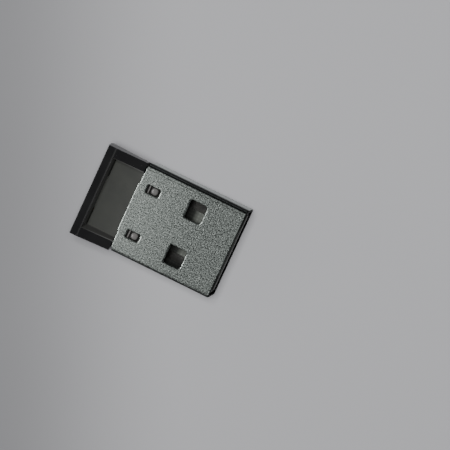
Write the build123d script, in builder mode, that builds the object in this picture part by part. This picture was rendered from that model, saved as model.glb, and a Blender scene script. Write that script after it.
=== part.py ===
from build123d import *
import os

# Nano USB wireless network adapter: a bare USB-A plug shell closed by a short cap.
# Millimetres. +X points out of the plug's mouth, +Y across the plug, +Z is the normal of the
# face with the open recess. The part lies on its plain face at Z = 0, and the origin is the
# middle of its footprint.

# ---------------------------------------------------------------- plug shell sizes
OVERALL_LENGTH = 19.7
SHELL_WIDTH = 12.0
SHELL_HEIGHT = 4.5
SHELL_WALL = 0.3
SHELL_CORNER = 0.5
SHELL_LENGTH = 14.0
MOUTH_EASE = 0.12

MOUTH = OVERALL_LENGTH / 2
TAB_EDGE = MOUTH - SHELL_LENGTH
SHELL_REAR = TAB_EDGE + 0.15
TAB_WIDTH = 6.5
SIDE_RELIEF = 0.2
REAR_ROLL = 0.14
FLAT_WIDTH = SHELL_WIDTH - 2 * SHELL_CORNER

# Receptacle latch windows and carrier latch holes, the same on both wide faces
WINDOW_X = TAB_EDGE + 8.11
WINDOW_LENGTH = 2.28
WINDOW_WIDTH = 2.45
WINDOW_Y = 3.12
WINDOW_REAR_CORNER = 0.2
WINDOW_FRONT_CORNER = 0.42
HOLE_X = TAB_EDGE + 2.15
HOLE_LENGTH = 1.78
HOLE_WIDTH = 1.04
HOLE_Y = 3.1
HOLE_REAR_CORNER = 0.12
HOLE_FRONT_CORNER = 0.26
ROLLOVER = 0.2

# Longitudinal seam in the plain face
SEAM_GAP = 0.06
SEAM_OVERRUN = 1.0
KEY_DEPTH = 1.1
KEY_NECK = 1.3
KEY_HEAD = 2.0
KEY_CENTRES = (-1.6, 7.0)

# ---------------------------------------------------------------- cap sizes
# The cap rises towards a soft crease near its end, and leans out at its foot
CAP_FRONT = SHELL_REAR - 0.07
CAP_FOOT = -OVERALL_LENGTH / 2
CAP_LEAN = 0.45
CAP_TOP_EDGE = CAP_FOOT + CAP_LEAN
CAP_END_HEIGHT = 5.3
CAP_CREASE_HEIGHT = 5.36
CAP_JOINT_HEIGHT = 4.58
CAP_CREASE_X = -8.38
CREASE_ROUND = 1.4
CAP_EDGE_ROUND = 0.06
HALF_JOINT = 6.05
HALF_END = 6.12
HALF_JOINT_FOOT = 5.57
HALF_END_FOOT = 5.78
FOOT_ROUND = 0.3
PARTING = 3.2
PARTING_EDGE = CAP_FOOT + CAP_LEAN * PARTING / CAP_END_HEIGHT
CAP_FLOOR = 0.7
CAVITY_HALF = 5.0
CAVITY_END = -8.95

# Recess in the cap's face, with drafted side walls
RECESS_END = CAP_TOP_EDGE + 1.16
RECESS_HALF_TOP = 4.83
RECESS_HALF_FLOOR = 4.49

# Tongue and groove between the two halves of the cap
TONGUE_REAR = -8.6
TONGUE_LENGTH = 4.2
TONGUE_WIDTH = 0.3
TONGUE_DEPTH = 0.4
TONGUE_Y = 5.5
GROOVE_CLEARANCE = 0.05
GROOVE_WIDTH = 0.36

# ---------------------------------------------------------------- board and carrier sizes
BOARD_UNDERSIDE = 1.37
BOARD_TOP = 2.17
BOARD_REAR = -8.7
BOARD_FRONT = MOUTH - 0.08
BOARD_HALF = 5.2
BOARD_TAIL_HALF = 4.6
BOARD_TAIL_CHAMFER = 0.5
BOARD_BEVEL = 0.08
BOARD_FIT = 0.02

CLEARANCE = 0.05
CARRIER_HALF = SHELL_WIDTH / 2 - SHELL_WALL - CLEARANCE
CARRIER_TOP = SHELL_HEIGHT - SHELL_WALL - 0.03
CARRIER_BOTTOM = SHELL_WALL + 0.03
CARRIER_CORNER = 0.26
CARRIER_FRONT = MOUTH - 0.25
POCKET_END = MOUTH - 9.0

# Room in the upper carrier for the parts on the board
ROOM_REAR = -3.5
ROOM_LENGTH = 3.85
ROOM_WIDTH = 9.4
ROOM_HEIGHT = 1.33

# The upper carrier's tail is the plate at the bottom of the cap's recess
TAIL_HALF = CAVITY_HALF - CLEARANCE
TAIL_UNDERSIDE = 2.42
TAIL_END = -8.15
TAIL_OVERLAP = 0.4
TAIL_TONGUE_LENGTH = 0.4
TAIL_TONGUE_HALF = 2.15
STRUT_Y = 4.2
STRUT_WIDTH = 0.4

# Opening in the lower carrier for the radio chip, and its rails and lugs inside the cap
CHIP_OPENING_REAR = -3.85
CHIP_OPENING_LENGTH = 5.0
CHIP_OPENING_WIDTH = 5.02
RAIL_LENGTH = 4.85
RAIL_WIDTH = 1.0
RAIL_OVERLAP = 0.1
RAIL_Y = 4.4
LUG_X = -6.0
LUG_Y = 4.95
LUG_LENGTH = 1.1
LUG_WIDTH = 0.6
LUG_POCKET_Y = 5.0
LUG_POCKET_LENGTH = 1.2
LUG_POCKET_HEIGHT = 0.8

# Latches that snap into the shell's holes: a rounded bump and a thin rib in a pocket
LATCH_WIDTH = HOLE_WIDTH - 0.1
LATCH_POCKET_DEPTH = 0.4
BUMP_X = HOLE_X + 0.13
BUMP_RADIUS = 0.56
BUMP_PROUD = 0.2
BUMP_END_ROUND = 0.3
RIB_X = HOLE_X - 0.6
RIB_LENGTH = 0.14
RIB_PROUD = 0.1
RIB_ROOT = LATCH_POCKET_DEPTH + 0.05

# ---------------------------------------------------------------- light guide and lamp sizes
LED_X = -7.55
LED_Y = -2.9
LED_LENGTH = 0.8
LED_BASE = (1.6, 0.2)
LED_LENS = (1.0, 0.5)
GUIDE_RADIUS = 0.5
GUIDE_FLANGE_RADIUS = 0.75
GUIDE_STEP = 0.45
GUIDE_FIT = 0.02
GUIDE_FLANGE_FIT = 0.03
GUIDE_EDGE_ROUND = 0.08

# ---------------------------------------------------------------- contact sizes
CONTACT_FACE = SHELL_HEIGHT - 2.25
CONTACT_REAR = 1.05
POWER_CONTACT_LENGTH = 7.7
DATA_CONTACT_LENGTH = 6.7
CONTACT_WIDTH = 1.0
CONTACT_CORNER = 0.3
POWER_CONTACT_Y = 3.5
DATA_CONTACT_Y = 1.0

# ---------------------------------------------------------------- electronic part sizes
CHIP_SIZE = 4.8
CHIP_HEIGHT = 0.85
CHIP_CHAMFER = 0.06
CHIP_X = -1.35
CHIP_PAD_SIZE = 2.9
LAND_PITCH = 0.5
LANDS_PER_SIDE = 8
LAND_WIDTH = 0.24
LAND_LENGTH = 0.35
LAND_HEIGHT = 0.05
LAND_INSET = CHIP_SIZE / 2 - LAND_LENGTH / 2

CRYSTAL_X = -2.35
CRYSTAL_Y = 2.9
CRYSTAL_LENGTH = 2.0
CRYSTAL_WIDTH = 2.5
CRYSTAL_BASE_HEIGHT = 0.4
CRYSTAL_LID_MARGIN = 0.3
CRYSTAL_LID_CORNER = 0.2
CRYSTAL_LID_HEIGHT = 0.25

REGULATOR_X = -1.8
REGULATOR_Y = -2.95
REGULATOR_LENGTH = 2.9
REGULATOR_WIDTH = 1.6
REGULATOR_HEIGHT = 1.0
REGULATOR_STANDOFF = 0.08
REGULATOR_CHAMFER = 0.1
LEAD_PITCH = 0.95
LEAD_WIDTH = 0.4
LEAD_THICKNESS = 0.12
LEAD_HEIGHT = 0.55
LEAD_KNEE = 0.28
LEAD_REACH = 0.6
LEAD_BEND = 0.12

INDUCTOR_PLACE = (-2.35, -0.3)
INDUCTOR_SIZE = (2.0, 1.6, 0.9)
INDUCTOR_CORNER = 0.15
ESD_PLACE = (-0.35, 1.95)
ESD_SIZE = (1.2, 1.6, 0.55)
ESD_CHAMFER = 0.08

# Small chip parts lie in rows, at one X for each row
CHIP_PART_LENGTH = 1.0
CHIP_PART_WIDTH = 0.5
CAPACITOR_HEIGHT = 0.5
RESISTOR_HEIGHT = 0.35
ROW_ABOVE_X = -0.35
ROW_BELOW_X = -4.8
SECOND_ROW_X = -6.1
CAPACITORS_ABOVE_Y = (3.35, 4.1, 0.55, -0.25, -1.05)
CAPACITORS_BELOW_Y = (2.9, 2.1, -2.1, -2.9)
RESISTORS_BELOW_Y = (1.25, 0.45, -0.45, -1.25)
SECOND_ROW_RESISTOR_Y = -2.9
MATCHING_Y = (2.4, 1.6, 0.8)

# Printed antenna
TRACE_WIDTH = 0.45
TRACE_HEIGHT = 0.05
FEED_X = -5.6
MEANDER_PITCH = 0.95
MEANDER_NEAR = -6.95
MEANDER_FAR = -8.35
MEANDER_START = 1.9
MEANDERS = 5

MIN_X = (Align.MIN, Align.CENTER, Align.MIN)
MAX_X = (Align.MAX, Align.CENTER, Align.MIN)
ON_TOP = (Align.CENTER, Align.CENTER, Align.MIN)
UNDER = (Align.CENTER, Align.CENTER, Align.MAX)
BOTH_SIDES = (1, -1)


# ---------------------------------------------------------------- plug shell
def seam_points():
    """Centre line of the seam, with a dovetail key at each of KEY_CENTRES."""
    points = [(TAB_EDGE - SEAM_OVERRUN, 0)]
    for centre in KEY_CENTRES:
        points += [
            (centre - KEY_NECK / 2, 0),
            (centre - KEY_HEAD / 2, KEY_DEPTH),
            (centre + KEY_HEAD / 2, KEY_DEPTH),
            (centre + KEY_NECK / 2, 0),
        ]
    return points + [(MOUTH + SEAM_OVERRUN, 0)]


with BuildPart() as plug_shell:
    with BuildSketch(Plane.YZ.offset(TAB_EDGE)):
        with Locations((0, SHELL_HEIGHT / 2)):
            RectangleRounded(SHELL_WIDTH, SHELL_HEIGHT, SHELL_CORNER)
            RectangleRounded(
                SHELL_WIDTH - 2 * SHELL_WALL,
                SHELL_HEIGHT - 2 * SHELL_WALL,
                SHELL_CORNER - SHELL_WALL,
                mode=Mode.SUBTRACT,
            )
    extrude(amount=SHELL_LENGTH)

    # The rear edge: a tab in the middle of the recess side, the rest set back
    with Locations((TAB_EDGE, 0, 0)):
        Box(
            SHELL_REAR - TAB_EDGE,
            SHELL_WIDTH,
            SHELL_HEIGHT - 2 * SHELL_WALL,
            align=MIN_X,
            mode=Mode.SUBTRACT,
        )
    with BuildSketch(Plane.XY):
        for side in BOTH_SIDES:
            with Locations((TAB_EDGE, side * (TAB_WIDTH + SHELL_WIDTH) / 4)):
                Rectangle(
                    2 * (SHELL_REAR - TAB_EDGE), (SHELL_WIDTH - TAB_WIDTH) / 2
                )
            with Locations((SHELL_REAR, side * (FLAT_WIDTH + SHELL_CORNER) / 2)):
                Rectangle(2 * SIDE_RELIEF, SHELL_CORNER)
            with Locations((SHELL_REAR, side * SHELL_WIDTH / 2)):
                Rectangle(2 * SIDE_RELIEF, SHELL_CORNER)
    extrude(amount=SHELL_HEIGHT, mode=Mode.SUBTRACT)

    # Latch windows, with softer corners towards the mouth
    with BuildSketch(Plane.XY):
        with Locations((WINDOW_X, WINDOW_Y), (WINDOW_X, -WINDOW_Y)):
            Rectangle(WINDOW_LENGTH, WINDOW_WIDTH)
        fillet(vertices().group_by(Axis.X)[0], WINDOW_REAR_CORNER)
        fillet(vertices().group_by(Axis.X)[-1], WINDOW_FRONT_CORNER)
    extrude(amount=SHELL_HEIGHT, mode=Mode.SUBTRACT)
    with BuildSketch(Plane.XY):
        with Locations((HOLE_X, HOLE_Y), (HOLE_X, -HOLE_Y)):
            Rectangle(HOLE_LENGTH, HOLE_WIDTH)
        fillet(vertices().group_by(Axis.X)[0], HOLE_REAR_CORNER)
        fillet(vertices().group_by(Axis.X)[-1], HOLE_FRONT_CORNER)
    extrude(amount=SHELL_HEIGHT, mode=Mode.SUBTRACT)

    # Rolled-over punched and sheared edges, and the eased edge of the mouth
    for wide_face in (faces().sort_by(Axis.Z)[-1], faces().sort_by(Axis.Z)[0]):
        fillet(wide_face.inner_wires().edges(), ROLLOVER)
    rear_edges = edges().filter_by(Axis.Y).filter_by_position(Axis.X, TAB_EDGE, SHELL_REAR)
    fillet(rear_edges.group_by(Axis.Z)[0] + rear_edges.group_by(Axis.Z)[-1], REAR_ROLL)
    fillet(faces().sort_by(Axis.X)[-1].outer_wire().edges(), MOUTH_EASE)

    with BuildSketch(Plane.XY):
        with BuildLine():
            Polyline(*seam_points())
        trace(line_width=SEAM_GAP)
    extrude(amount=SHELL_WALL + SEAM_GAP, mode=Mode.SUBTRACT)


# ---------------------------------------------------------------- carriers
with BuildPart() as latch_bump:
    Cylinder(BUMP_RADIUS, LATCH_WIDTH, rotation=(90, 0, 0))
    fillet(edges().filter_by(GeomType.CIRCLE), BUMP_END_ROUND)


def add_latches(face_z, outward):
    """Makes two latches in a carrier's wide face; outward is 1 for up and -1 for down."""
    for side in BOTH_SIDES:
        with Locations((HOLE_X, side * HOLE_Y, face_z)):
            Box(HOLE_LENGTH, HOLE_WIDTH, 2 * LATCH_POCKET_DEPTH, mode=Mode.SUBTRACT)
        bump_z = face_z + outward * (BUMP_PROUD - BUMP_RADIUS)
        with Locations((BUMP_X, side * HOLE_Y, bump_z)):
            add(latch_bump.part)
        rib_z = face_z + outward * (RIB_PROUD - RIB_ROOT) / 2
        with Locations((RIB_X, side * HOLE_Y, rib_z)):
            Box(RIB_LENGTH, LATCH_WIDTH, RIB_PROUD + RIB_ROOT)


with BuildPart() as upper_carrier:
    # Block inside the shell, which closes the back of the plug's mouth
    with BuildSketch(Plane.YZ.offset(SHELL_REAR)):
        with Locations((0, (BOARD_TOP + CARRIER_TOP) / 2)):
            Rectangle(2 * CARRIER_HALF, CARRIER_TOP - BOARD_TOP)
        fillet(vertices().group_by(Axis.Y)[-1], CARRIER_CORNER)
    extrude(amount=POCKET_END - SHELL_REAR)

    # Tail plate with its middle tongue, on two struts that stand on the board
    with BuildSketch(Plane.XY.offset(TAIL_UNDERSIDE)):
        with Locations(((TAIL_END + SHELL_REAR + TAIL_OVERLAP) / 2, 0)):
            Rectangle(SHELL_REAR + TAIL_OVERLAP - TAIL_END, 2 * TAIL_HALF)
        with Locations((TAIL_END, 0)):
            Rectangle(2 * TAIL_TONGUE_LENGTH, 2 * TAIL_TONGUE_HALF)
    extrude(amount=PARTING - TAIL_UNDERSIDE)
    for side in BOTH_SIDES:
        with Locations((TAIL_END, side * STRUT_Y, BOARD_TOP)):
            Box(
                SHELL_REAR - TAIL_END,
                STRUT_WIDTH,
                TAIL_UNDERSIDE - BOARD_TOP,
                align=MIN_X,
            )
    add_latches(CARRIER_TOP, 1)

    # Room for the parts on the board, which also trims the latches' undersides
    with Locations((ROOM_REAR, 0, BOARD_TOP)):
        Box(ROOM_LENGTH, ROOM_WIDTH, ROOM_HEIGHT, align=MIN_X, mode=Mode.SUBTRACT)


with BuildPart() as lower_carrier:
    # Tray under the board, with side walls along the board's edges
    with BuildSketch(Plane.YZ.offset(SHELL_REAR)):
        with Locations((0, (CARRIER_BOTTOM + BOARD_TOP) / 2)):
            Rectangle(2 * CARRIER_HALF, BOARD_TOP - CARRIER_BOTTOM)
        fillet(vertices().group_by(Axis.Y)[0], CARRIER_CORNER)
    extrude(amount=CARRIER_FRONT - SHELL_REAR)
    with Locations(((SHELL_REAR + CARRIER_FRONT) / 2, 0, BOARD_UNDERSIDE)):
        Box(
            2 * (CARRIER_FRONT - SHELL_REAR),
            2 * (BOARD_HALF + BOARD_FIT),
            BOARD_TOP,
            align=ON_TOP,
            mode=Mode.SUBTRACT,
        )
    with Locations((CHIP_OPENING_REAR, 0, 0)):
        Box(
            CHIP_OPENING_LENGTH,
            CHIP_OPENING_WIDTH,
            BOARD_UNDERSIDE,
            align=MIN_X,
            mode=Mode.SUBTRACT,
        )

    # Rails into the cap, with the lugs that stop the cap from pulling off
    rail_height = BOARD_UNDERSIDE - CAP_FLOOR - CLEARANCE
    for side in BOTH_SIDES:
        with Locations((SHELL_REAR + RAIL_OVERLAP, side * RAIL_Y, CAP_FLOOR + CLEARANCE)):
            Box(RAIL_LENGTH, RAIL_WIDTH, rail_height, align=MAX_X)
        with Locations((LUG_X, side * LUG_Y, CAP_FLOOR + CLEARANCE)):
            Box(LUG_LENGTH, LUG_WIDTH, rail_height, align=ON_TOP)
    add_latches(CARRIER_BOTTOM, -1)


# ---------------------------------------------------------------- cap
def cap_outline(end_x, half_end, half_joint, front_x=CAP_FRONT):
    """Corner points of the cap's plan at one height."""
    return [
        (end_x, -half_end),
        (front_x, -half_joint),
        (front_x, half_joint),
        (end_x, half_end),
    ]


with BuildPart() as cap_front_frame:
    with BuildSketch(Plane.XZ):
        Polygon(
            (CAP_FRONT, PARTING),
            (CAP_FRONT, CAP_JOINT_HEIGHT),
            (CAP_CREASE_X, CAP_CREASE_HEIGHT),
            (CAP_TOP_EDGE, CAP_END_HEIGHT),
            (PARTING_EDGE, PARTING),
            align=None,
        )
        fillet(vertices().group_by(Axis.Y)[-1], CREASE_ROUND)
    extrude(amount=SHELL_WIDTH, both=True)
    with BuildSketch(Plane.XY):
        Polygon(*cap_outline(CAP_FOOT, HALF_END, HALF_JOINT), align=None)
    extrude(amount=2 * CAP_END_HEIGHT, mode=Mode.INTERSECT)
    # Soft outer edges round the face, except at the joint with the shell
    outer_edges = edges().filter_by_position(Axis.Z, CAP_JOINT_HEIGHT, CAP_CREASE_HEIGHT)
    fillet(outer_edges.filter_by(Axis.Y).sort_by(Axis.X)[0], CAP_EDGE_ROUND)
    with BuildSketch(Plane.XY.offset(PARTING)):
        Polygon(
            *cap_outline(RECESS_END, RECESS_HALF_FLOOR, RECESS_HALF_FLOOR, 0),
            align=None,
        )
    with BuildSketch(Plane.XY.offset(CAP_CREASE_HEIGHT)):
        Polygon(
            *cap_outline(RECESS_END, RECESS_HALF_TOP, RECESS_HALF_TOP, 0),
            align=None,
        )
    loft(ruled=True, mode=Mode.SUBTRACT)
    for side in BOTH_SIDES:
        with Locations((TONGUE_REAR, side * TONGUE_Y, PARTING - TONGUE_DEPTH)):
            Box(TONGUE_LENGTH, TONGUE_WIDTH, TONGUE_DEPTH + CLEARANCE, align=MIN_X)


with BuildPart() as cap_back_cover:
    with BuildSketch(Plane.XY):
        Polygon(*cap_outline(CAP_FOOT, HALF_END_FOOT, HALF_JOINT_FOOT), align=None)
    with BuildSketch(Plane.XY.offset(PARTING)):
        Polygon(*cap_outline(PARTING_EDGE, HALF_END, HALF_JOINT), align=None)
    loft(ruled=True)
    foot = faces().sort_by(Axis.Z)[0].edges().sort_by(Axis.X)[:-1]
    fillet(foot, FOOT_ROUND)
    # Cavity, open to the shell and to the front frame
    with Locations((CAVITY_END, 0, CAP_FLOOR)):
        Box(
            CAP_FRONT - CAVITY_END,
            2 * CAVITY_HALF,
            PARTING,
            align=MIN_X,
            mode=Mode.SUBTRACT,
        )
    groove_depth = TONGUE_DEPTH + GROOVE_CLEARANCE
    for side in BOTH_SIDES:
        with Locations(
            (TONGUE_REAR - GROOVE_CLEARANCE, side * TONGUE_Y, PARTING - groove_depth)
        ):
            Box(
                TONGUE_LENGTH + 2 * GROOVE_CLEARANCE,
                GROOVE_WIDTH,
                groove_depth,
                align=MIN_X,
                mode=Mode.SUBTRACT,
            )
        with Locations((LUG_X, side * LUG_POCKET_Y, CAP_FLOOR)):
            Box(
                LUG_POCKET_LENGTH,
                LUG_WIDTH,
                LUG_POCKET_HEIGHT,
                align=ON_TOP,
                mode=Mode.SUBTRACT,
            )
    with Locations(Location((LED_X, LED_Y, CAP_FLOOR))):
        CounterBoreHole(
            GUIDE_RADIUS + GUIDE_FIT,
            GUIDE_FLANGE_RADIUS + GUIDE_FLANGE_FIT,
            CAP_FLOOR - GUIDE_STEP,
        )


with BuildPart() as light_guide:
    with Locations((LED_X, LED_Y, 0)):
        Cylinder(GUIDE_RADIUS, GUIDE_STEP, align=ON_TOP)
    with Locations((LED_X, LED_Y, GUIDE_STEP)):
        Cylinder(GUIDE_FLANGE_RADIUS, CAP_FLOOR - GUIDE_STEP, align=ON_TOP)
    fillet(edges().sort_by(Axis.Z)[0], GUIDE_EDGE_ROUND)


# ---------------------------------------------------------------- circuit board
with BuildPart() as circuit_board:
    with BuildSketch(Plane.XY.offset(BOARD_UNDERSIDE)):
        with Locations(((BOARD_FRONT + SHELL_REAR) / 2, 0)):
            Rectangle(BOARD_FRONT - SHELL_REAR, 2 * BOARD_HALF)
        with Locations(((BOARD_REAR + SHELL_REAR) / 2, 0)):
            Rectangle(SHELL_REAR - BOARD_REAR, 2 * BOARD_TAIL_HALF)
        chamfer(vertices().group_by(Axis.X)[0], BOARD_TAIL_CHAMFER)
    extrude(amount=BOARD_TOP - BOARD_UNDERSIDE)
    chamfer(faces().sort_by(Axis.X)[-1].edges().filter_by(Axis.Y), BOARD_BEVEL)


def contact(y, length):
    """One contact finger on the board, rounded at its front end."""
    with BuildPart() as finger:
        with BuildSketch(Plane.XY.offset(BOARD_TOP)):
            with Locations((CONTACT_REAR + length / 2, y)):
                Rectangle(length, CONTACT_WIDTH)
            fillet(vertices().group_by(Axis.X)[-1], CONTACT_CORNER)
        extrude(amount=CONTACT_FACE - BOARD_TOP)
    return finger


contact_supply = contact(POWER_CONTACT_Y, POWER_CONTACT_LENGTH)
contact_data_minus = contact(DATA_CONTACT_Y, DATA_CONTACT_LENGTH)
contact_data_plus = contact(-DATA_CONTACT_Y, DATA_CONTACT_LENGTH)
contact_ground = contact(-POWER_CONTACT_Y, POWER_CONTACT_LENGTH)

# ---------------------------------------------------------------- radio chip
with BuildPart() as radio_chip:
    with Locations((CHIP_X, 0, BOARD_UNDERSIDE - LAND_HEIGHT)):
        Box(CHIP_SIZE, CHIP_SIZE, CHIP_HEIGHT - LAND_HEIGHT, align=UNDER)
    chamfer(edges().group_by(Axis.Z)[0], CHIP_CHAMFER)

with BuildPart() as radio_chip_lands:
    with Locations((CHIP_X, 0, BOARD_UNDERSIDE)):
        Box(CHIP_PAD_SIZE, CHIP_PAD_SIZE, LAND_HEIGHT, align=UNDER)
        with GridLocations(2 * LAND_INSET, LAND_PITCH, 2, LANDS_PER_SIDE):
            Box(LAND_LENGTH, LAND_WIDTH, LAND_HEIGHT, align=UNDER)
        with GridLocations(LAND_PITCH, 2 * LAND_INSET, LANDS_PER_SIDE, 2):
            Box(LAND_WIDTH, LAND_LENGTH, LAND_HEIGHT, align=UNDER)

# ---------------------------------------------------------------- parts above the board
with BuildPart() as crystal_base:
    with Locations((CRYSTAL_X, CRYSTAL_Y, BOARD_TOP)):
        Box(CRYSTAL_LENGTH, CRYSTAL_WIDTH, CRYSTAL_BASE_HEIGHT, align=ON_TOP)

with BuildPart() as crystal_lid:
    with BuildSketch(Plane.XY.offset(BOARD_TOP + CRYSTAL_BASE_HEIGHT)):
        with Locations((CRYSTAL_X, CRYSTAL_Y)):
            RectangleRounded(
                CRYSTAL_LENGTH - CRYSTAL_LID_MARGIN,
                CRYSTAL_WIDTH - CRYSTAL_LID_MARGIN,
                CRYSTAL_LID_CORNER,
            )
    extrude(amount=CRYSTAL_LID_HEIGHT)

with BuildPart() as voltage_regulator:
    with Locations((REGULATOR_X, REGULATOR_Y, BOARD_TOP + REGULATOR_STANDOFF)):
        Box(REGULATOR_WIDTH, REGULATOR_LENGTH, REGULATOR_HEIGHT, align=ON_TOP)
    chamfer(edges().group_by(Axis.Z)[-1], REGULATOR_CHAMFER)

with BuildPart() as regulator_leads:
    for side, lead_places in ((-1, (-1, 0, 1)), (1, (-1, 1))):
        for place in lead_places:
            lead_y = REGULATOR_Y + place * LEAD_PITCH
            body_side = REGULATOR_X + side * REGULATOR_WIDTH / 2
            foot_z = BOARD_TOP + LEAD_THICKNESS / 2
            with BuildSketch(Plane.XZ.offset(-lead_y)):
                with BuildLine():
                    FilletPolyline(
                        (body_side, BOARD_TOP + LEAD_HEIGHT),
                        (body_side + side * LEAD_KNEE, BOARD_TOP + LEAD_HEIGHT),
                        (body_side + side * LEAD_KNEE, foot_z),
                        (body_side + side * LEAD_REACH, foot_z),
                        radius=LEAD_BEND,
                    )
                trace(line_width=LEAD_THICKNESS)
            extrude(amount=LEAD_WIDTH / 2, both=True)

with BuildPart() as power_inductor:
    with Locations((*INDUCTOR_PLACE, BOARD_TOP)):
        Box(*INDUCTOR_SIZE, align=ON_TOP)
    fillet(edges().filter_by(Axis.Z), INDUCTOR_CORNER)

with BuildPart() as esd_array:
    with Locations((*ESD_PLACE, BOARD_TOP)):
        Box(*ESD_SIZE, align=ON_TOP)
    chamfer(edges().group_by(Axis.Z)[-1], ESD_CHAMFER)


# ---------------------------------------------------------------- small chip parts
def chip_row(x, y_places, z, height, align):
    """A row of small chip parts, all with their length along X."""
    with Locations(*[(x, y, z) for y in y_places]):
        Box(CHIP_PART_LENGTH, CHIP_PART_WIDTH, height, align=align)


with BuildPart() as capacitors:
    chip_row(ROW_ABOVE_X, CAPACITORS_ABOVE_Y, BOARD_TOP, CAPACITOR_HEIGHT, ON_TOP)
    chip_row(ROW_BELOW_X, CAPACITORS_BELOW_Y, BOARD_UNDERSIDE, CAPACITOR_HEIGHT, UNDER)

with BuildPart() as resistors:
    chip_row(ROW_BELOW_X, RESISTORS_BELOW_Y, BOARD_UNDERSIDE, RESISTOR_HEIGHT, UNDER)
    chip_row(SECOND_ROW_X, (SECOND_ROW_RESISTOR_Y,), BOARD_UNDERSIDE, RESISTOR_HEIGHT, UNDER)

with BuildPart() as rf_matching_parts:
    chip_row(SECOND_ROW_X, MATCHING_Y, BOARD_UNDERSIDE, CAPACITOR_HEIGHT, UNDER)


# ---------------------------------------------------------------- antenna and lamp
def antenna_route():
    """Centre line of the printed antenna: a feed line, then a meander across the board."""
    route = [(FEED_X, MEANDER_START), (MEANDER_NEAR, MEANDER_START)]
    near_end = True
    for turn in range(MEANDERS):
        y = MEANDER_START - turn * MEANDER_PITCH
        far_x = MEANDER_FAR if near_end else MEANDER_NEAR
        route += [(far_x, y), (far_x, y - MEANDER_PITCH)]
        near_end = not near_end
    return route


with BuildPart() as antenna_trace:
    with BuildSketch(Plane.XY.offset(BOARD_TOP)):
        with BuildLine():
            Polyline(*antenna_route())
        trace(line_width=TRACE_WIDTH)
    extrude(amount=TRACE_HEIGHT)

with BuildPart() as status_led:
    with Locations((LED_X, LED_Y, BOARD_UNDERSIDE)):
        Box(LED_LENGTH, *LED_BASE, align=UNDER)
        Box(LED_LENGTH, *LED_LENS, align=UNDER)

# ---------------------------------------------------------------- export
NODES = {
    "plug_shell": plug_shell,
    "upper_carrier": upper_carrier,
    "lower_carrier": lower_carrier,
    "cap_front_frame": cap_front_frame,
    "cap_back_cover": cap_back_cover,
    "light_guide": light_guide,
    "circuit_board": circuit_board,
    "contact_supply": contact_supply,
    "contact_data_minus": contact_data_minus,
    "contact_data_plus": contact_data_plus,
    "contact_ground": contact_ground,
    "radio_chip": radio_chip,
    "radio_chip_lands": radio_chip_lands,
    "crystal_base": crystal_base,
    "crystal_lid": crystal_lid,
    "voltage_regulator": voltage_regulator,
    "regulator_leads": regulator_leads,
    "power_inductor": power_inductor,
    "esd_array": esd_array,
    "capacitors": capacitors,
    "resistors": resistors,
    "rf_matching_parts": rf_matching_parts,
    "antenna_trace": antenna_trace,
    "status_led": status_led,
}

os.makedirs("parts", exist_ok=True)
for node_name, node in NODES.items():
    node.part.label = node_name
    export_step(node.part, f"parts/{node_name}.step")
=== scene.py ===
"""Looks, light and camera for a nano USB wireless adapter, lying on a pale floor.

Metres. +X points out of the plug's mouth, +Y across the plug, +Z the face with the recess.
"""

import math

import bpy
from mathutils import Matrix, Vector


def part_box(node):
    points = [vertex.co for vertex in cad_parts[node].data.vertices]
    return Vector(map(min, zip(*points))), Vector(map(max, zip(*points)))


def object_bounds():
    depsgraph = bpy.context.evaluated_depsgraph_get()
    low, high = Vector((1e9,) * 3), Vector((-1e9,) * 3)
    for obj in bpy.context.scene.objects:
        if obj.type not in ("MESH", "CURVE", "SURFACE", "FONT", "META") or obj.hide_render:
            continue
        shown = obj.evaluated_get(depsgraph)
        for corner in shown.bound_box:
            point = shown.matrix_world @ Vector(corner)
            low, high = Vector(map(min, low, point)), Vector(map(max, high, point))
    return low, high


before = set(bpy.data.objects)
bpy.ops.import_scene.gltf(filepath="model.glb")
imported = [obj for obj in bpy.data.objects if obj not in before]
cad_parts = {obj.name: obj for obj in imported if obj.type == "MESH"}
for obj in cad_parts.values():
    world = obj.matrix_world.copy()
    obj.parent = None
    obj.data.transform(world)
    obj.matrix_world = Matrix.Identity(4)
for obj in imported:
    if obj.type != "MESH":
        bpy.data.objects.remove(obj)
CAD_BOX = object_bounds()

MM = 0.001
LOW = Vector(CAD_BOX[0])
HIGH = Vector(CAD_BOX[1])
SHELL_LOW, SHELL_HIGH = (Vector(corner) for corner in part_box("plug_shell"))
BEND = 0.5 * MM
RECESS_END = LOW.x + 1.59 * MM
RECESS_HALF = 4.836 * MM
PANEL_FRONT = SHELL_LOW.x + 0.2 * MM
BOARD_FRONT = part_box("circuit_board")[1][0]


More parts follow.
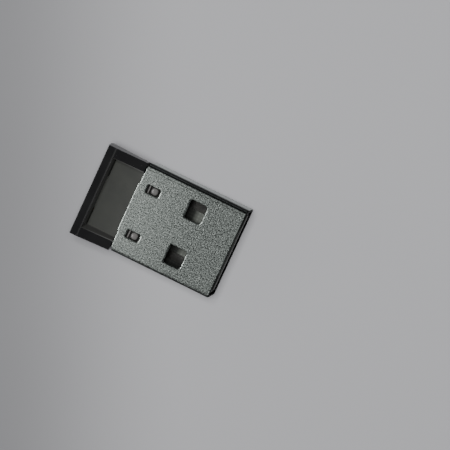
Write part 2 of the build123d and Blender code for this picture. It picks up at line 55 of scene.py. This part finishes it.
# ---------------------------------------------------------------- node helpers
class Graph:
    """A material's nodes, built in a few short calls."""

    def __init__(self, name):
        self.material = bpy.data.materials.new(name)
        self.material.use_nodes = True
        self.tree = self.material.node_tree
        self.shader = self.tree.nodes["Principled BSDF"]
        self.place = self.add("ShaderNodeTexCoord").outputs["Object"]

    def add(self, kind, **settings):
        node = self.tree.nodes.new(kind)
        for name, value in settings.items():
            setattr(node, name, value)
        return node

    def feed(self, socket, value):
        """Links value to socket if it is another socket, or else stores it there."""
        if isinstance(value, bpy.types.NodeSocket):
            self.tree.links.new(value, socket)
        else:
            socket.default_value = value

    def set(self, **values):
        """Shader sockets by name, with spaces written as underscores."""
        for name, value in values.items():
            self.feed(self.shader.inputs[name.replace("_", " ")], value)

    def math(self, operation, *values, clamp=False):
        node = self.add("ShaderNodeMath", operation=operation, use_clamp=clamp)
        for socket, value in zip(node.inputs, values):
            self.feed(socket, value)
        return node.outputs[0]

    def line(self, value, slope, base):
        """slope times value, plus base."""
        return self.math("ADD", self.math("MULTIPLY", value, slope), base)

    def mix(self, factor, first, second):
        node = self.add("ShaderNodeMix", data_type="RGBA", blend_type="MIX")
        self.feed(node.inputs["Factor"], factor)
        self.feed(node.inputs["A"], first)
        self.feed(node.inputs["B"], second)
        return node.outputs["Result"]

    def ramp(self, value, low, high, start=0.0, end=1.0):
        """value from low to high becomes start to end, smoothly and clamped."""
        node = self.add("ShaderNodeMapRange", interpolation_type="SMOOTHSTEP")
        for socket, number in zip(node.inputs, (value, low, high, start, end)):
            self.feed(socket, number)
        return node.outputs["Result"]

    def stretched(self, factors):
        """The object's coordinates, scaled along each axis."""
        node = self.add("ShaderNodeMapping")
        self.feed(node.inputs["Vector"], self.place)
        node.inputs["Scale"].default_value = factors
        return node.outputs["Vector"]

    def noise(self, grain, detail=2.0, roughness=0.5, place=None):
        """Noise whose grains are about this many metres across, from 0 to 1."""
        node = self.add("ShaderNodeTexNoise")
        self.feed(node.inputs["Vector"], place or self.place)
        node.inputs["Scale"].default_value = 1.0 / grain
        node.inputs["Detail"].default_value = detail
        node.inputs["Roughness"].default_value = roughness
        return node.outputs["Fac"]

    def grains(self, grain, detail=1.0):
        """Three unrelated noises in one vector, each from 0 to 1."""
        node = self.add("ShaderNodeTexNoise")
        self.feed(node.inputs["Vector"], self.place)
        node.inputs["Scale"].default_value = 1.0 / grain
        node.inputs["Detail"].default_value = detail
        return node.outputs["Color"]

    def vector(self, operation, first, second):
        node = self.add("ShaderNodeVectorMath", operation=operation)
        self.feed(node.inputs[0], first)
        self.feed(node.inputs[1], second)
        return node.outputs["Vector"]

    def facets(self, grain, tilt, detail=1.0):
        """Tilts the surface at random from grain to grain."""
        offset = self.vector("SUBTRACT", self.grains(grain, detail), (0.5, 0.5, 0.5))
        node = self.add("ShaderNodeVectorMath", operation="SCALE")
        self.feed(node.inputs[0], offset)
        self.feed(node.inputs["Scale"], tilt)
        plain = self.add("ShaderNodeNewGeometry").outputs["Normal"]
        turned = self.vector("ADD", plain, node.outputs["Vector"])
        unit = self.add("ShaderNodeVectorMath", operation="NORMALIZE")
        self.feed(unit.inputs[0], turned)
        self.set(Normal=unit.outputs["Vector"])

    def axis(self, name):
        """One coordinate of the place on the object: "X", "Y" or "Z"."""
        node = self.add("ShaderNodeSeparateXYZ")
        self.feed(node.inputs[0], self.place)
        return node.outputs[name]

    def facing(self, name):
        """How far the surface faces along "X", "Y" or "Z", from -1 to 1."""
        node = self.add("ShaderNodeSeparateXYZ")
        self.feed(node.inputs[0], self.add("ShaderNodeNewGeometry").outputs["True Normal"])
        return node.outputs[name]

    def bump(self, height, depth):
        """Bumps depth metres high."""
        node = self.add("ShaderNodeBump")
        node.inputs["Distance"].default_value = depth
        self.feed(node.inputs["Height"], height)
        self.set(Normal=node.outputs["Normal"])


def finish_node(name, graph):
    """Gives a CAD node its material."""
    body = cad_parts[name]
    body.data.materials.clear()
    body.data.materials.append(graph.material)


# ---------------------------------------------------------------- shell steel
BAND_START = (0.14 * MM, 0.32 * MM)
BAND_END = (1.5 * MM, 2.9 * MM)
BEND_LINE_START = (-0.24 * MM, -0.14 * MM)
BEND_LINE_END = (-0.12 * MM, 0.0)
LIP_START = 0.12 * MM
LIP_END = 0.02 * MM
UNDER_SKIN = 0.25 * MM
FLECK = 0.15 * MM
MOTTLE = 0.55 * MM
FACET = 0.13 * MM


def shell_steel():
    """Steel with a speckled face and, placed to match the photograph, darker sides and edges that are
    painted shade.
    """
    g = Graph("shell_steel")
    along = g.axis("X")
    across = g.axis("Y")
    drop = g.math("SUBTRACT", SHELL_HIGH.z, g.axis("Z"))
    flat_edge = SHELL_HIGH.y - BEND
    middle = (SHELL_HIGH.z - SHELL_LOW.z) / 2
    depth = g.math("MINIMUM", drop, g.math("SUBTRACT", 2 * middle, drop))

    # Distance past the end of the flat face, round both bends and down both sides
    off_flat = g.math("SUBTRACT", g.math("ABSOLUTE", across), flat_edge)
    wander = g.math("MULTIPLY", g.math("SUBTRACT", g.noise(1.6 * MM, detail=2.0), 0.5), 0.10 * MM)
    down = g.math("ADD", g.math("ADD", off_flat, drop), wander)
    # Painted shade: a dark band round both bends and down both sides
    painted_side_shade = g.math(
        "MULTIPLY",
        g.ramp(down, *BAND_START),
        g.ramp(down, *BAND_END, 1.0, 0.0),
    )
    painted_side_shade = g.math("MULTIPLY", painted_side_shade, g.math("GREATER_THAN", g.facing("Z"), -0.5))
    bent = g.ramp(g.math("ADD", off_flat, depth), 0.0, 0.2 * MM)
    towards_mouth = g.ramp(along, -4.0 * MM, 6.5 * MM)

    # A dark line beside one bend, and painted shade on the lip at the mouth and on the inner surfaces
    beside = g.math("ADD", g.math("ADD", g.math("SUBTRACT", across, flat_edge), drop), wander)
    bend_line = g.math(
        "MULTIPLY",
        g.ramp(beside, *BEND_LINE_START),
        g.ramp(beside, *BEND_LINE_END, 1.0, 0.0),
    )
    lip = g.ramp(along, SHELL_HIGH.x - LIP_START, SHELL_HIGH.x - LIP_END)
    inside = g.math(
        "MULTIPLY",
        g.math("GREATER_THAN", depth, UNDER_SKIN),
        g.math("LESS_THAN", g.math("ABSOLUTE", across), SHELL_HIGH.y - UNDER_SKIN),
    )
    lip_and_inside_shade = g.math("MAXIMUM", lip, inside)

    # Speckled grain: fine light and dark flecks, stronger towards the mouth, where both tones are also
    # darker as painted shade
    fleck = g.math("SUBTRACT", g.noise(FLECK, detail=3.0, roughness=0.6), 0.5)
    mottle = g.math("SUBTRACT", g.noise(MOTTLE, detail=2.0), 0.5)
    wide = g.ramp(g.math("ABSOLUTE", g.facing("Z")), 0.2, 0.8)
    contrast = g.line(wide, 2.9, 0.8)
    shade = g.math("ADD", g.math("MULTIPLY", fleck, contrast), g.math("MULTIPLY", mottle, 0.2))
    shade = g.math("ADD", shade, 0.5, clamp=True)
    light = g.mix(towards_mouth, (0.885, 0.965, 0.905, 1), (0.725, 0.795, 0.745, 1))
    dark = g.mix(towards_mouth, (0.130, 0.145, 0.135, 1), (0.020, 0.022, 0.021, 1))
    tone = g.mix(shade, dark, light)
    tone = g.mix(g.math("MULTIPLY", bend_line, 0.60), tone, (0.12, 0.13, 0.12, 1))
    # Painted shade darkens the side band, then the lip at the mouth and the inner surfaces
    tone = g.mix(g.math("MULTIPLY", painted_side_shade, 0.86), tone, (0.03, 0.031, 0.031, 1))
    tone = g.mix(g.math("MULTIPLY", lip_and_inside_shade, 0.85), tone, (0.03, 0.031, 0.03, 1))
    g.set(Base_Color=tone, Metallic=1.0)
    # The same painted shade also darkens the steel's reflections there
    reflection_shade = g.math("MAXIMUM", g.math("MULTIPLY", painted_side_shade, 0.92), g.math("MULTIPLY", lip_and_inside_shade, 0.8))
    g.set(Specular_Tint=g.mix(reflection_shade, (1, 1, 1, 1), (0.05, 0.05, 0.05, 1)))
    rough = g.line(fleck, 0.25, 0.44)
    g.set(Roughness=g.math("MULTIPLY", rough, g.math("SUBTRACT", 1.0, g.math("MULTIPLY", bent, 0.35))))
    tilt = g.line(towards_mouth, 0.2, 0.55)
    flatness = g.math("SUBTRACT", 1.0, g.math("MULTIPLY", bent, 0.7))
    tilt = g.math("MULTIPLY", tilt, flatness)
    g.facets(FACET, tilt, detail=2.0)
    return g


# ---------------------------------------------------------------- plastics
def moulded(name, low, high, roughness, grain=0.12 * MM, depth=0.004 * MM, spread=0.12):
    """Moulded plastic: two close tones in soft clouds, with a fine texture."""
    g = Graph(name)
    fine = g.noise(grain, detail=3.0, roughness=0.6)
    cloud = g.ramp(g.noise(2.2 * MM, detail=3.0), 0.3, 0.7)
    g.set(Base_Color=g.mix(cloud, low, high))
    wear = g.math("MULTIPLY", g.math("SUBTRACT", fine, 0.5), spread)
    g.set(Roughness=g.math("ADD", wear, roughness))
    g.bump(fine, depth)
    return g


def cap_gloss(name, low, high):
    """Polished plastic with hairlines and dust, grey satin recess walls and rougher sides."""
    g = Graph(name)
    in_length = g.math("GREATER_THAN", g.axis("X"), RECESS_END - 0.01 * MM)
    in_width = g.math("LESS_THAN", g.math("ABSOLUTE", g.axis("Y")), RECESS_HALF)
    wall = g.math("MULTIPLY", in_length, in_width)
    cloud = g.ramp(g.noise(3.0 * MM, detail=2.0), 0.3, 0.7)
    dust = g.ramp(g.noise(0.09 * MM, detail=1.0), 0.70, 0.78)
    tone = g.mix(cloud, low, high)
    tone = g.mix(g.math("MULTIPLY", dust, 0.12), tone, (0.10, 0.10, 0.10, 1))
    g.set(Base_Color=g.mix(wall, tone, (0.080, 0.080, 0.077, 1)))
    side = g.math("GREATER_THAN", g.math("ABSOLUTE", g.facing("Y")), 0.7)
    hair = g.noise(0.35 * MM, detail=4.0, place=g.stretched((0.12, 1.0, 1.0)))
    polish = g.line(hair, 0.12, 0.06)
    satin = g.math("ADD", g.math("MULTIPLY", wall, 0.25), g.math("MULTIPLY", side, 0.20))
    g.set(Roughness=g.math("ADD", polish, satin))
    g.bump(g.noise(1.4 * MM, detail=1.0), 0.006 * MM)
    return g


def carrier_grey():
    """Grey carrier: a matt panel in the cap, and shinier latches with painted shade low in their pockets
    and a painted highlight towards their tops.
    """
    g = Graph("grey_carrier")
    fine = g.noise(0.12 * MM, detail=3.0, roughness=0.6)
    cloud = g.ramp(g.noise(2.2 * MM, detail=3.0), 0.3, 0.7)
    in_shell = g.math("GREATER_THAN", g.axis("X"), PANEL_FRONT)
    panel = g.mix(cloud, (0.048, 0.050, 0.046, 1), (0.055, 0.057, 0.052, 1))
    # Painted shade low in the pockets and a painted highlight towards the tops
    raised = g.ramp(g.axis("Z"), SHELL_HIGH.z - 0.42 * MM, SHELL_HIGH.z - 0.20 * MM)
    latch_shade_and_highlight = g.mix(raised, (0.020, 0.020, 0.019, 1), (0.155, 0.151, 0.147, 1))
    g.set(Base_Color=g.mix(in_shell, panel, latch_shade_and_highlight))
    rough = g.math("MULTIPLY", g.math("SUBTRACT", fine, 0.5), 0.12)
    shine = g.math("MULTIPLY", in_shell, 0.15)
    g.set(Roughness=g.math("SUBTRACT", g.math("ADD", rough, 0.55), shine))
    g.bump(fine, 0.004 * MM)
    return g


finish_node("plug_shell", shell_steel())
finish_node("upper_carrier", carrier_grey())
finish_node(
    "lower_carrier",
    moulded("black_carrier", (0.012, 0.012, 0.012, 1), (0.018, 0.018, 0.018, 1), 0.48),
)
finish_node(
    "cap_front_frame",
    cap_gloss("cap_front", (0.006, 0.006, 0.0065, 1), (0.009, 0.009, 0.0095, 1)),
)
finish_node(
    "cap_back_cover",
    cap_gloss("cap_back", (0.010, 0.010, 0.010, 1), (0.014, 0.014, 0.014, 1)),
)


# ---------------------------------------------------------------- small electronics
def plated(name, low, high, roughness):
    """Plated or bare metal in two close tones, with fine rub marks."""
    g = Graph(name)
    cloud = g.ramp(g.noise(0.6 * MM, detail=3.0), 0.35, 0.7)
    g.set(Base_Color=g.mix(cloud, low, high), Metallic=1.0)
    rub = g.noise(0.12 * MM, detail=2.0, place=g.stretched((0.1, 1.0, 1.0)))
    g.set(Roughness=g.line(rub, 0.2, roughness))
    g.bump(rub, 0.002 * MM)
    return g


LIT_PATCH_REAR = (3.35 * MM, 4.3 * MM)
LIT_PATCH_SIDE = (3.38 * MM, 3.55 * MM)
CUT_EDGE = 0.09 * MM
WEAVE_PITCH = 0.45 * MM


def solder_mask():
    """Dark solder mask with the glass weave faintly under it, and a paler patch that is a painted pool of
    light.
    """
    g = Graph("solder_mask")
    weave_x = g.add("ShaderNodeTexWave", bands_direction="X")
    weave_y = g.add("ShaderNodeTexWave", bands_direction="Y")
    for weave in (weave_x, weave_y):
        g.feed(weave.inputs["Vector"], g.place)
        weave.inputs["Scale"].default_value = 0.32 / WEAVE_PITCH
    squares = g.math("MULTIPLY", weave_x.outputs["Fac"], weave_y.outputs["Fac"])
    # Painted light: the mask is paler towards the mouth and away from the two outer edges
    lit_patch_x = g.ramp(g.axis("X"), *LIT_PATCH_REAR)
    lit_patch_y = g.ramp(g.math("ABSOLUTE", g.axis("Y")), *LIT_PATCH_SIDE, 1.0, 0.0)
    painted_light_patch = g.math("MULTIPLY", lit_patch_x, lit_patch_y)
    plain_mask = g.mix(squares, (0.012, 0.013, 0.012, 1), (0.020, 0.021, 0.019, 1))
    lit_patch_tone = g.mix(squares, (0.105, 0.113, 0.101, 1), (0.145, 0.154, 0.139, 1))
    mask = g.mix(painted_light_patch, plain_mask, lit_patch_tone)
    cut_edge = g.math("GREATER_THAN", g.axis("X"), BOARD_FRONT - CUT_EDGE)
    g.set(Base_Color=g.mix(cut_edge, mask, (0.085, 0.088, 0.080, 1)))
    g.set(Roughness=g.line(g.noise(0.2 * MM), 0.2, 0.35))
    g.bump(squares, 0.004 * MM)
    return g


def tinned_chips(name, nodes_centres, body_tone, axis="X"):
    """Chip parts: ceramic body, with tinned ends found from the distance along the part."""
    g = Graph(name)
    ends = None
    along = g.axis(axis)
    for centre, half in nodes_centres:
        offset = g.math("ABSOLUTE", g.math("SUBTRACT", along, centre))
        inside = g.math("LESS_THAN", offset, half + 0.02 * MM)
        end = g.math("MULTIPLY", g.math("GREATER_THAN", offset, 0.52 * half), inside)
        ends = end if ends is None else g.math("MAXIMUM", ends, end)
    tone = g.mix(g.noise(0.1 * MM), body_tone, tuple(0.8 * c for c in body_tone[:3]) + (1,))
    g.set(Base_Color=g.mix(ends, tone, (0.62, 0.63, 0.64, 1)), Metallic=ends)
    g.set(Roughness=g.line(g.noise(0.08 * MM), 0.2, 0.3))
    return g


solder = plated("solder_tin", (0.60, 0.61, 0.62, 1), (0.72, 0.72, 0.72, 1), 0.22)
contact_metal = plated("contact_plate", (0.14, 0.14, 0.13, 1), (0.18, 0.18, 0.17, 1), 0.34)
epoxy = moulded("chip_epoxy", (0.014, 0.014, 0.015, 1), (0.02, 0.02, 0.021, 1), 0.55, grain=0.05 * MM)
finish_node("circuit_board", solder_mask())
for name in ("contact_supply", "contact_data_minus", "contact_data_plus", "contact_ground"):
    finish_node(name, contact_metal)
for name in ("radio_chip_lands", "regulator_leads"):
    finish_node(name, solder)
for name in ("radio_chip", "voltage_regulator", "esd_array"):
    finish_node(name, epoxy)
finish_node("crystal_lid", plated("nickel_lid", (0.56, 0.55, 0.52, 1), (0.64, 0.63, 0.60, 1), 0.18))
finish_node(
    "crystal_base", moulded("crystal_ceramic", (0.20, 0.14, 0.09, 1), (0.26, 0.18, 0.12, 1), 0.5)
)
finish_node(
    "power_inductor",
    moulded("ferrite", (0.07, 0.07, 0.075, 1), (0.11, 0.11, 0.112, 1), 0.65, depth=0.01 * MM),
)
HALF_CHIP = 0.5 * MM
REAR_ROW = -4.8 * MM
SECOND_ROW = -6.1 * MM
FRONT_ROW = -0.35 * MM
finish_node(
    "capacitors",
    tinned_chips(
        "capacitor_ceramic",
        ((REAR_ROW, HALF_CHIP), (FRONT_ROW, HALF_CHIP)),
        (0.42, 0.29, 0.17, 1),
    ),
)
finish_node(
    "resistors",
    tinned_chips(
        "resistor_black",
        ((REAR_ROW, HALF_CHIP), (SECOND_ROW, HALF_CHIP)),
        (0.03, 0.03, 0.035, 1),
    ),
)
finish_node(
    "rf_matching_parts",
    tinned_chips("rf_ceramic", ((SECOND_ROW, HALF_CHIP),), (0.52, 0.57, 0.62, 1)),
)
finish_node("antenna_trace", plated("copper_trace", (0.42, 0.22, 0.11, 1), (0.55, 0.30, 0.16, 1), 0.3))
finish_node(
    "status_led", moulded("led_body", (0.78, 0.77, 0.70, 1), (0.84, 0.82, 0.76, 1), 0.3)
)


def clear_guide():
    """Milky clear plastic."""
    g = Graph("light_guide_clear")
    haze = g.ramp(g.noise(0.5 * MM, detail=3.0), 0.3, 0.7)
    g.set(Base_Color=g.mix(haze, (0.60, 0.62, 0.64, 1), (0.70, 0.71, 0.72, 1)))
    g.set(Transmission_Weight=0.5, IOR=1.49)
    g.set(Roughness=g.line(haze, 0.15, 0.25))
    g.bump(g.noise(0.2 * MM), 0.004 * MM)
    return g


finish_node("light_guide", clear_guide())


# ---------------------------------------------------------------- stage and light
FLOOR_HALF = 0.6
FLOOR_GAP = 0.02 * MM
FADE = (-24 * MM, 4 * MM)


def make_floor():
    """A plain pale sheet under the part, with painted shade making it darker towards one side."""
    half = FLOOR_HALF
    mesh = bpy.data.meshes.new("floor")
    corners = [(-half, -half, 0), (half, -half, 0), (half, half, 0), (-half, half, 0)]
    mesh.from_pydata(corners, [], [(0, 1, 2, 3)])
    floor = bpy.data.objects.new("floor", mesh)
    floor.location.z = LOW.z - FLOOR_GAP
    bpy.context.collection.objects.link(floor)
    g = Graph("floor_pale")
    cloud = g.math("MULTIPLY", g.math("SUBTRACT", g.noise(30 * MM, detail=1.0), 0.5), 0.15)
    # Painted shade: the floor darkens towards one side
    sideways = g.math("ADD", g.math("MULTIPLY", g.axis("X"), 0.91), g.math("MULTIPLY", g.axis("Y"), 0.42))
    fade = g.math("ADD", g.ramp(sideways, *FADE), cloud)
    g.set(Base_Color=g.mix(fade, (0.20, 0.20, 0.208, 1), (0.42, 0.42, 0.435, 1)))
    g.set(Roughness=0.9, Emission_Color=(0.80, 0.80, 0.83, 1), Emission_Strength=0.10)
    mesh.materials.append(g.material)


def softbox(name, direction, distance, size, brightness, shines=True, fills=True):
    """A square area light that faces the part.

    shines is whether reflections show it, and fills is whether it lights matt surfaces.
    """
    light = bpy.data.lights.new(name, "AREA")
    light.size = size
    light.energy = brightness * math.pi * size ** 2
    lamp = bpy.data.objects.new(name, light)
    towards = Vector(direction).normalized()
    lamp.location = (LOW + HIGH) / 2 + towards * distance
    lamp.rotation_euler = towards.to_track_quat("Z", "Y").to_euler()
    lamp.visible_glossy = shines
    lamp.visible_diffuse = fills
    bpy.context.collection.objects.link(lamp)


make_floor()

# The key lights matt surfaces only, and the others show in gloss only
softbox("key", (0.02, 0.14, 1.0), 0.30, 0.12, 21.0, shines=False)
softbox("low_left", (-1.0, -0.10, 0.55), 0.14, 0.056, 11.0, fills=False)
softbox("overhead_card", (-0.20, 0.30, 1.0), 0.20, 0.11, 0.42, fills=False)
softbox("sky_card", (-0.05, -0.22, 1.0), 0.20, 0.15, 0.155, fills=False)
softbox("edge_card", (-0.13, -0.42, 0.90), 0.20, 0.030, 2.2, fills=False)
softbox("rim_card", (-0.62, -0.15, 0.78), 0.20, 0.035, 7.5, fills=False)
softbox("crease_card", (-0.079, -0.151, 1.0), 0.20, 0.032, 0.75, fills=False)
softbox("low_front_card", (-0.20, -1.0, 0.35), 0.20, 0.10, 0.8, fills=False)

WORLD_TONE = (0.92, 0.95, 1.0, 1)
WORLD_STRENGTH = 0.05
world = bpy.data.worlds.new("studio")
world.use_nodes = True
background = world.node_tree.nodes["Background"]
background.inputs["Color"].default_value = WORLD_TONE
background.inputs["Strength"].default_value = WORLD_STRENGTH
bpy.context.scene.world = world

# ---------------------------------------------------------------- camera
CAMERA_DISTANCE = 0.400
CAMERA_BACK = Vector((0.1312, 0.1499, 0.9800)).normalized()
CAMERA_UP = Vector((-0.4350, 0.8970, -0.0790))
AIM_RIGHT = 7.66 * MM
AIM_UP = -0.88 * MM
LENS = 253.2
SENSOR = 36.0
NEAREST = 0.01
FARTHEST = 5.0

camera_right = CAMERA_UP.cross(CAMERA_BACK).normalized()
camera_up = CAMERA_BACK.cross(camera_right)
lens = bpy.data.cameras.new("camera")
lens.lens = LENS
lens.sensor_width = SENSOR
lens.clip_start = NEAREST
lens.clip_end = FARTHEST
camera = bpy.data.objects.new("camera", lens)
aim = camera_right * AIM_RIGHT + camera_up * AIM_UP
turn = Matrix((camera_right, camera_up, CAMERA_BACK)).transposed().to_4x4()
camera.matrix_world = Matrix.Translation(aim + CAMERA_BACK * CAMERA_DISTANCE) @ turn
bpy.context.collection.objects.link(camera)
bpy.context.scene.camera = camera
